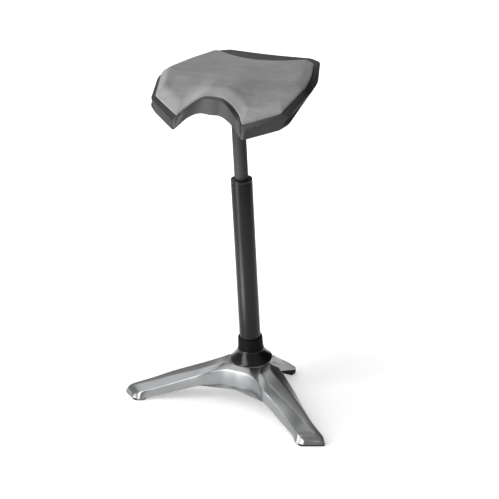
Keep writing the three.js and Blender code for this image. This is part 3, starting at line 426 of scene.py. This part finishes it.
# Cap ring
# A black plastic ring with rounded edges sits on the top of the tube and closes the gap round
# the gas cylinder.
cap = smooth(skin("cap", about_column([
    [16.3, 457.7], [24.6, 457.7], [25, 458.1], [25, 463.8], [24.4, 465.0],
    [23.0, 465.7], [17.2, 465.7], [16.3, 465.0], [16.3, 457.7],
]), caps=False), 30)
dress(cap, satin)
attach(cap, "base")
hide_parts("cap_ring")


# Gas cylinder
# The cylinder of the gas spring is a dull dark grey tube of 32 mm, its ends rolled in. It slides
# in the outer tube and carries the seat.
cylinder = smooth(skin("cylinder", about_column([
    [14, 252], [15.4, 252], [16, 252.8], [16, 631], [15.4, 632], [14, 632], [14, 252],
]), caps=False), 50)
dull = Finish("dull_grey_coat")
tint = dull.noise(18, 3)
dull.shade(
    Base_Color=dull.ramp(tint, [(0.3, (0.036, 0.037, 0.038)), (0.7, (0.044, 0.045, 0.046))]),
    Roughness=dull.span(dull.noise(80, 3), 0.5, 0.62),
    Specular_IOR_Level=0.2,
    Normal=dull.bump(dull.noise(500, 3), 0.0001, 0.35),
)
dress(cylinder, dull)
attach(cylinder, "seat")
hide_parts("gas_cylinder")


# Parts inside the column and under the seat
# Turned steel, brass and plastic pieces that the column hides, the black steel of the seat mount
# and the release lever under the shell, and the plywood board inside it.
steel = Finish("bright_steel")
steel.shade(
    Base_Color=steel.ramp(steel.noise(40, 3), [(0.3, (0.5, 0.5, 0.51)), (0.7, (0.62, 0.62, 0.63))]),
    Metallic=1.0,
    Roughness=steel.span(steel.noise(120, 3), 0.22, 0.4),
)
brass = Finish("brass")
brass.shade(
    Base_Color=brass.ramp(brass.noise(40, 3), [(0.3, (0.46, 0.33, 0.12)), (0.7, (0.58, 0.43, 0.18))]),
    Metallic=1.0,
    Roughness=brass.span(brass.noise(90, 3), 0.3, 0.45),
)
nylon = Finish("white_nylon")
nylon.shade(
    Base_Color=nylon.ramp(nylon.noise(50, 3), [(0.3, (0.66, 0.65, 0.6)), (0.7, (0.74, 0.73, 0.68))]),
    Roughness=nylon.span(nylon.noise(200, 3), 0.45, 0.6),
)
black_steel = Finish("black_steel")
tint = black_steel.noise(20, 3)
black_steel.shade(
    Base_Color=black_steel.ramp(tint, [(0.3, (0.013, 0.013, 0.014)), (0.7, (0.021, 0.021, 0.022))]),
    Roughness=black_steel.span(black_steel.noise(200, 4), 0.45, 0.6),
    Normal=black_steel.bump(black_steel.noise(420, 3), 0.00015, 0.4),
)
plywood = Finish("plywood")
veneer = plywood.noise(6, 6, 0.7, plywood.stretched((2, 14, 60)))
plywood.shade(
    Base_Color=plywood.ramp(veneer, [(0.3, (0.33, 0.21, 0.1)), (0.7, (0.5, 0.36, 0.2))]),
    Roughness=plywood.span(plywood.noise(90, 4), 0.6, 0.8),
)
balls = [f"bearing_ball_{i}" for i in range(1, 9)]
board_screws = [f"board_screw_{i}" for i in range(1, 5)]
mount_screws = [f"mount_screw_{i}" for i in range(1, 5)]
for finish, names in (
    (steel, ["tube_plug", "lock_washer", "lower_race", "upper_race", "piston_rod", "rod_clip"]),
    (steel, ["valve_button", "lever_pin"] + balls + board_screws),
    (brass, ["piston", "rod_guide", "valve_block", "ball_cage"]),
    (nylon, ["guide_bush"]),
    (black_steel, ["column_bolt", "seat_mount", "release_lever"] + mount_screws),
    (matte, ["lever_grip"]),
    (plywood, ["seat_board"]),
):
    for name in names:
        dress(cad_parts[name], finish)


# Seat shell
# The shell is a thick moulded tray of charcoal plastic. Its margin slopes away from the cushion
# all round, widens into a hand grip at the back, and drops into two lobes beside a front notch.
HALF = 191.0   # half the seat's width in millimetres
MIDDLE = 58.0   # the seat's middle, in millimetres forward of the column's foot

# The deck that the cushion lies on, in millimetres and degrees.
DECK_FRONT, DECK_HEIGHT, DECK_SLOPE = 155, 775, 12   # so high so far forward, and its slope there
SIDE_RISE = 7.4   # how far the sides are raised
DROOP = 44   # how far the tips of the lobes droop
DROOP_FROM, DROOP_LENGTH = 84, 97   # where the droop starts, and how far on it is full
DROOP_EASE = 0.15   # the share of that length in which it sets in softly
LOBE_FROM, LOBE_FULL = 15, 90   # across, the droop fades in between these

# The underside round the seat mount.
FLOOR_HEIGHT, FLOOR_SLOPE = 751, 9   # its height at the seat's middle, and its slope in degrees
FLOOR_FLAT = 0.5   # it stays on that slope up to this share of the outline

# Corners of half the seat, from the middle of the back to the middle of the notch, in
# millimetres: across, forward, rounding of the corner, and how far under the deck it lies.
CUSHION_EDGE = [
    [0, -31, 300, 0], [60, -38, 200, 0], [114, -56, 22, 0], [133, -47, 22, 0], [163, 20, 150, 0],
    [183, 86, 40, 0], [161, 146.5, 5, 0], [82.5, 181, 5, 0], [69, 168, 400, 0],
    [57, 162.5, 400, 0], [45, 160.2, 400, 0], [30, 159.2, 400, 0], [15, 158, 400, 0],
    [0, 157, 400, 0],
]
SHELL_RIM = [
    [0, -84, 300, -1.5], [60, -84, 300, -1.5], [106, -84, 30, -1], [137, -71, 30, 1],
    [183, 26, 150, 8], [194, 84, 60, 10], [176, 144, 9, 8], [89, 186, 8, 6.8],
    [71, 176.5, 400, 5.2], [57, 171.5, 400, 4.2], [45, 168.5, 400, 3.3], [30, 165.8, 400, 3.1],
    [15, 164, 400, 2.9], [0, 163.2, 400, 2.9],
]
SHELL_BOTTOM = [
    [0, -74, 300, 27], [60, -74, 300, 27], [101, -74, 24, 27], [125, -63, 24, 26],
    [166, 30, 150, 28], [178.5, 144.5, 10, 24], [159, 153, 25, 31], [88.5, 189, 13, 25.5],
    [75, 186, 400, 20], [61, 182.5, 400, 18.5], [46, 180, 400, 23], [30, 178.3, 400, 28.5],
    [15, 177.4, 400, 31.4], [0, 177, 400, 32.2],
]
ARC_STEPS = 6   # steps round a corner
STRAIGHT, SPACING = 0.7, 4   # the share of a side between its arcs, and the points' distance there
LEAST_ARC = 1.0   # the least that a corner's arc reaches along its sides
LOWER_EDGE, RIM_EDGE, LIP_EDGE = 1.8, 1.3, 0.5   # how far the roundings reach from their edges
LIP_OUT, LIP_DEPTH = 1.1, 0.4   # the lip lies so far outside the cushion and under the deck
TRAY_IN, TRAY_DEPTH = 0.2, 4.6   # the tray's wall stands so far inside it and is so deep
TRAY_FLOOR_IN = 3   # the tray's floor starts this far inside the cushion's edge


def step(x, low, high):
    """Smooth step from 0 at low to 1 at high: three times the square less twice the cube."""
    t = np.clip((x - low) / (high - low), 0, 1)
    return t * t * (3 - 2 * t)


def deck(x, f):
    """Height of the deck: an even slope down to the front, sides raised by the square of the distance
    from the middle, and two front lobes whose droop sets in as a parabola and then runs straight."""
    t = np.maximum((f - DROOP_FROM) / DROOP_LENGTH, 0)
    droop = np.where(t < DROOP_EASE, t * t / (2 * DROOP_EASE), t - DROOP_EASE / 2)
    lobe = step(abs(x), LOBE_FROM, LOBE_FULL) * droop / (1 - DROOP_EASE / 2)
    level = DECK_HEIGHT + (DECK_FRONT - f) * math.tan(math.radians(DECK_SLOPE))
    return level + SIDE_RISE * (x / HALF)**2 - DROOP * lobe


def corner_loop(half):
    """All corners of an outline, from half of them and their mirror images."""
    half = np.array(half, float)
    return np.concatenate([half, half[-2:0:-1] * [-1, 1, 1, 1]])


def inset(loop, distance):
    """Moves every side of an outline inward by a distance. A corner moves by that distance times the
    sum of its two sides' normals over one plus their dot product, so that it stays mitred."""
    along = np.roll(loop[:, :2], -1, 0) - loop[:, :2]
    along /= np.linalg.norm(along, axis=1, keepdims=True)
    normal = np.stack([-along[:, 1], along[:, 0]], 1)
    before = np.roll(normal, 1, 0)
    moved = loop.copy()
    moved[:, :2] += distance * (before + normal) / (1 + (before * normal).sum(1, keepdims=True))
    return moved


edge, rim, bottom = (corner_loop(half) for half in (CUSHION_EDGE, SHELL_RIM, SHELL_BOTTOM))

# Steps along each side, the same for every outline. They go by how far the rows of the cushion's
# table lie apart, and a change of the rounding counts as a distance too.
apart = np.linalg.norm(np.roll(edge, -1, 0) - edge, axis=1)
SIDE_STEPS = np.maximum(2, apart * STRAIGHT / SPACING).round().astype(int)


def rounded(loop):
    """The outline as a fine ring: an arc at every corner and straight steps between them. Along both
    sides an arc reaches its radius over the tangent of half the corner's angle, within limits."""
    back, ahead = np.roll(loop, 1, 0) - loop, np.roll(loop, -1, 0) - loop
    lb, la = (np.linalg.norm(side[:, :2], axis=1) for side in (back, ahead))
    angle = np.arccos(np.clip((back[:, :2] * ahead[:, :2]).sum(1) / (lb * la), -1, 1))
    reach = np.clip(loop[:, 2] / np.tan(angle / 2), LEAST_ARC, TAKEN * np.minimum(la, lb))
    start = loop + back * (reach / lb)[:, None]
    end = loop + ahead * (reach / la)[:, None]
    arcs = arc(start[:, None], loop[:, None], end[:, None], np.linspace(0, 1, ARC_STEPS + 1)[:, None])
    sides = [
        leave + (arrive - leave) * (np.arange(1, count) / count)[:, None]
        for leave, arrive, count in zip(end, np.roll(start, -1, 0), SIDE_STEPS)]
    return np.concatenate([part for pair in zip(arcs, sides) for part in pair])


def on_deck(ring, lift=0.0):
    """Puts a ring at its depth under the deck, plus a lift."""
    return np.stack([ring[:, 0], ring[:, 1], deck(ring[:, 0], ring[:, 1]) - ring[:, 3] + lift], 1)


def drawn(ring, share):
    """Draws a ring towards the seat's middle, to a share of its size."""
    moved = ring.copy()
    moved[:, 0] *= share
    moved[:, 1] = MIDDLE + (moved[:, 1] - MIDDLE) * share
    return moved


def belly(share):
    """A ring of the underside: on the sloping floor round the mount, and from there by a smooth step
    to the shell's lower edge."""
    ring = drawn(rounded(bottom), share)
    floor = FLOOR_HEIGHT + (MIDDLE - ring[:, 1]) * math.tan(math.radians(FLOOR_SLOPE))
    height = floor + (on_deck(ring)[:, 2] - floor) * step(share, FLOOR_FLAT, 1.0)
    return np.stack([ring[:, 0], ring[:, 1], height], 1)


low = on_deck(rounded(bottom))
high = on_deck(rounded(rim))
lip = on_deck(rounded(inset(edge, -LIP_OUT)), -LIP_DEPTH)
tray_wall = on_deck(rounded(inset(edge, TRAY_IN)), -TRAY_DEPTH)
tray_floor = rounded(inset(edge, TRAY_FLOOR_IN))

# Rings from the middle of the underside out to the lower edge, up the side to the rim, over the
# margin to the lip, down into the tray and back to the middle.
under = (0.03, 0.2, 0.4, 0.5, 0.56, 0.62, 0.68, 0.74, 0.8, 0.85, 0.9, 0.94, 0.97)
rings = [belly(share) for share in under]
rings += bend(rings[-1], low, high, LOWER_EDGE)
rings += [low + (high - low) * t for t in (0.25, 0.4, 0.55, 0.7, 0.8)]
rings += bend(low, high, lip, RIM_EDGE)
rings += [high + (lip - high) * t for t in (0.3, 0.5, 0.7)]
rings += bend(high, lip, tray_wall, LIP_EDGE, steps=3) + [tray_wall]
rings += [on_deck(drawn(tray_floor, share), -TRAY_DEPTH) for share in (1, 0.9, 0.6, 0.3, 0.03)]
shell = smooth(skin("shell", place(np.stack(rings)[:, ::-1])))
charcoal = Finish("charcoal_plastic")
tint = charcoal.noise(20, 3)
stipple = charcoal.noise(700, 4)
charcoal.shade(
    Base_Color=charcoal.ramp(tint, [(0.3, (0.0105, 0.0112, 0.012)), (0.7, (0.0145, 0.0153, 0.0164))]),
    Roughness=charcoal.span(stipple, 0.36, 0.46),
    Specular_IOR_Level=0.46,
    Normal=charcoal.bump(stipple, 0.0002, 0.4),
)
dress(shell, charcoal)
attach(shell, "seat")
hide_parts("seat_shell")


# Cushion
# The cushion is moulded foam under a grey suede-like fabric, drawn taut over mitred, bevelled
# edges and tucked into the shell all round. Its bevels are painted paler than the crown, a painted
# highlight and sheen.

# The bevel, in millimetres in from the cushion's edge and above the deck.
BEVEL = np.array([
    [2.6, -4.0], [1.3, -1.6], [0.6, 0.2], [0.1, 1.6], [0.0, 2.7], [0.4, 4.1], [1.5, 5.4], [3.4, 6.9],
    [6.5, 9.1], [9.5, 11.2], [12.5, 13.2], [15.0, 14.7], [17.0, 15.6], [19.0, 16.2], [21.5, 16.7],
    [24.0, 17.0],
])
BEVEL_MIDDLE, HIGHLIGHT_PEAK, HIGHLIGHT_REACH = 8, 1.3, 12   # place, height and slope of the painted highlight on the bevel
CROWN_RINGS, CROWN_LAST = 33, 0.02   # rings of the crown, and the size of the last one
DOME, DOME_FULL = 0.8, 0.3   # the crown rises by this much, and in full inside this share of it
SLACK_FULL = 0.75   # the fabric lies loose in full inside this share of the crown
FOLDED_UNDER = (0.03, 0.5, 0.9)   # shares of the tray's floor that the underside's rings lie at


def slack(ring):
    """Slight waves where the fabric lies loose on the foam: two crossed sines, less than a
    millimetre high together."""
    x, f = ring[:, 0], ring[:, 1]
    return 0.42 * np.sin(x / 19 + f / 31) + 0.3 * np.sin(f / 14 - x / 43 + 1.3)


rings = [on_deck(drawn(tray_floor, share), BEVEL[0, 1]) for share in FOLDED_UNDER]
rings += [on_deck(rounded(inset(edge, distance)), height) for distance, height in BEVEL]
crown = rounded(inset(edge, BEVEL[-1, 0]))
for share in np.linspace(1, CROWN_LAST, CROWN_RINGS + 1)[1:]:
    ring = drawn(crown, share)
    dome = BEVEL[-1, 1] + DOME * (1 - step(share, DOME_FULL, 1.0))
    rings.append(on_deck(ring, dome + slack(ring) * (1 - step(share, SLACK_FULL, 1.0))))
cushion = smooth(skin("cushion", place(np.stack(rings)[:, ::-1])))

# How much painted highlight the fabric gets: most on the bevel, none on the crown or underneath.
on_bevel = np.clip(HIGHLIGHT_PEAK - abs(BEVEL[:, 0] - BEVEL_MIDDLE) / HIGHLIGHT_REACH, 0, 1)
by_ring = np.concatenate([np.zeros(len(FOLDED_UNDER)), on_bevel, np.zeros(CROWN_RINGS)])
# A mesh attribute carries the painted highlight's share at every point of the cushion.
bevel_highlight = cushion.data.attributes.new("bevel_highlight", "FLOAT", "POINT")
bevel_highlight.data.foreach_set("value", np.concatenate([np.repeat(by_ring, len(crown)), [0, 0]]))

suede = Finish("grey_suede")
mottle = suede.noise(13, 5, 0.65)
brushed = suede.noise(9, 6, 0.7, suede.stretched((1, 7, 7)))
nap = suede.noise(1400, 3, 0.7)
tone = suede.node("ShaderNodeMix", {
    "Factor": 0.45, "A": mottle, "B": brushed,
}, data_type="FLOAT").outputs["Result"]
crown_tone = suede.ramp(tone, [
    (0.36, (0.12, 0.12, 0.122)), (0.5, (0.158, 0.158, 0.16)), (0.64, (0.198, 0.198, 0.199))])
# The paler colour for the bevels is a painted highlight and sheen.
highlight_tone = suede.ramp(tone, [(0.36, (0.19, 0.19, 0.191)), (0.64, (0.265, 0.265, 0.266))])
# The painted highlight's share, read from the mesh attribute.
highlight_share = suede.node("ShaderNodeAttribute", attribute_name="bevel_highlight").outputs["Fac"]
# A mix of colours takes its two colours at sockets 6 and 7 and gives its result at 2.
fabric = suede.node("ShaderNodeMix", {
    "Factor": highlight_share, 6: crown_tone, 7: highlight_tone,
}, data_type="RGBA").outputs[2]
suede.shade(
    Base_Color=fabric,
    Roughness=suede.span(mottle, 0.85, 0.98),
    Normal=suede.bump(nap, 0.0004, 0.7),
    Sheen_Weight=0.45,
    Sheen_Roughness=0.4,
)
dress(cushion, suede)
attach(cushion, "seat")
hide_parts("fabric_cover", "foam_core")


# Floor, light and camera
# A white floor keeps a soft shadow and glows for the viewer, less near the stool. The studio round
# it is dim behind the stool and brighter towards the camera. Soft lamps, and a long lens at the
# photograph's angle.
FLOOR_HALF = 60   # half the side of the floor, in metres
GLOW_NEAR, GLOW_FAR = (0.25, 0.36), (1.2, 0.97)   # distance from the middle, and glow there
STUDIO_SIDE, STUDIO_BEHIND = (0.1, 0.42), (0.8, 0.045)   # how far behind, and brightness there


def arithmetic(tree, operation, one, other):
    """One step of arithmetic on two sockets."""
    made = tree.nodes.new("ShaderNodeMath")
    made.operation = operation
    tree.links.new(one, made.inputs[0])
    tree.links.new(other, made.inputs[1])
    return made.outputs[0]


def seen_rays(tree):
    """1 for rays that a viewer sees the backdrop by: straight, mirrored or through glass."""
    path = tree.nodes.new("ShaderNodeLightPath").outputs
    mirrored = arithmetic(tree, "MAXIMUM", path["Is Camera Ray"], path["Is Glossy Ray"])
    return arithmetic(tree, "MAXIMUM", mirrored, path["Is Transmission Ray"])


def faded(tree, value, start, end):
    """A smooth step between two pairs of a value and what it gives there."""
    made = tree.nodes.new("ShaderNodeMapRange")
    made.interpolation_type = "SMOOTHSTEP"
    tree.links.new(value, made.inputs["Value"])
    made.inputs["From Min"].default_value, made.inputs["To Min"].default_value = start
    made.inputs["From Max"].default_value, made.inputs["To Max"].default_value = end
    return made.outputs["Result"]


corners = [(x * FLOOR_HALF, y * FLOOR_HALF, 0) for x, y in ((-1, -1), (1, -1), (1, 1), (-1, 1))]
floor_mesh = bpy.data.meshes.new("floor")
floor_mesh.from_pydata(corners, [], [(0, 1, 2, 3)])
floor = bpy.data.objects.new("floor", floor_mesh)
bpy.context.scene.collection.objects.link(floor)
white = bpy.data.materials.new("white_floor")
white.use_nodes = True
tree = white.node_tree
tree.nodes.clear()
paint = tree.nodes.new("ShaderNodeBsdfDiffuse")
paint.inputs["Color"].default_value = (0.88, 0.88, 0.88, 1)
distance = tree.nodes.new("ShaderNodeVectorMath")
distance.operation = "LENGTH"
tree.links.new(tree.nodes.new("ShaderNodeTexCoord").outputs["Object"], distance.inputs[0])
spread = faded(tree, distance.outputs["Value"], GLOW_NEAR, GLOW_FAR)
glow = tree.nodes.new("ShaderNodeEmission")
tree.links.new(arithmetic(tree, "MULTIPLY", seen_rays(tree), spread), glow.inputs["Strength"])
painted_glow = tree.nodes.new("ShaderNodeAddShader")
tree.links.new(paint.outputs[0], painted_glow.inputs[0])
tree.links.new(glow.outputs[0], painted_glow.inputs[1])
surface = tree.nodes.new("ShaderNodeOutputMaterial").inputs["Surface"]
tree.links.new(painted_glow.outputs[0], surface)
floor.data.materials.append(white)

world = bpy.data.worlds.new("studio")
bpy.context.scene.world = world
world.use_nodes = True
tree = world.node_tree
behind = tree.nodes.new("ShaderNodeVectorMath")
behind.operation = "DOT_PRODUCT"
behind.inputs[1].default_value = (0.45, 0.88, 0.0)
tree.links.new(tree.nodes.new("ShaderNodeTexCoord").outputs["Generated"], behind.inputs[0])
background = tree.nodes["Background"]
background.inputs["Color"].default_value = (1, 1, 1, 1)
brightness = faded(tree, behind.outputs["Value"], STUDIO_SIDE, STUDIO_BEHIND)
tree.links.new(brightness, background.inputs["Strength"])


def lamp(name, at, aim, size, power, turn=0.0):
    """A soft rectangular lamp at a point, aimed at another. It is tipped by the angle between the
    line of aim and straight down, and turned by that line's bearing plus a turn of its own."""
    light = bpy.data.lights.new(name, "AREA")
    light.shape = "RECTANGLE"
    light.size, light.size_y = size
    light.energy = power
    holder = bpy.data.objects.new(name, light)
    bpy.context.scene.collection.objects.link(holder)
    holder.location = at
    gap = np.array(aim, float) - np.array(at, float)
    flat = math.hypot(gap[0], gap[1])
    holder.rotation_euler = (math.atan2(flat, -gap[2]), 0, math.atan2(-gap[0], gap[1]) + turn)
    holder.visible_camera = False


lamp("tall_strip", at=(-0.66, -1.55, 1.3), aim=(0, 0, 0.8), size=(0.85, 2.4), power=35)
lamp("floor_strip", at=(-0.4, -1.03, 0.01), aim=(-0.4, -1.03, 1), size=(0.42, 1.1), power=14,
     turn=-0.37)
lamp("top", at=(-1.3, 0.2, 2.9), aim=(0, 0, 0.5), size=(3.0, 3.0), power=34)

camera_data = bpy.data.cameras.new("camera")
camera_data.lens = 91.34
camera_data.sensor_width = 36
camera = bpy.data.objects.new("camera", camera_data)
bpy.context.scene.collection.objects.link(camera)
camera.location = (1.430507, -2.410224, 1.374815)
camera.rotation_euler = (math.radians(70.4842), 0, math.radians(30.686))
bpy.context.scene.camera = camera
bpy.context.scene.view_settings.view_transform = "Standard"
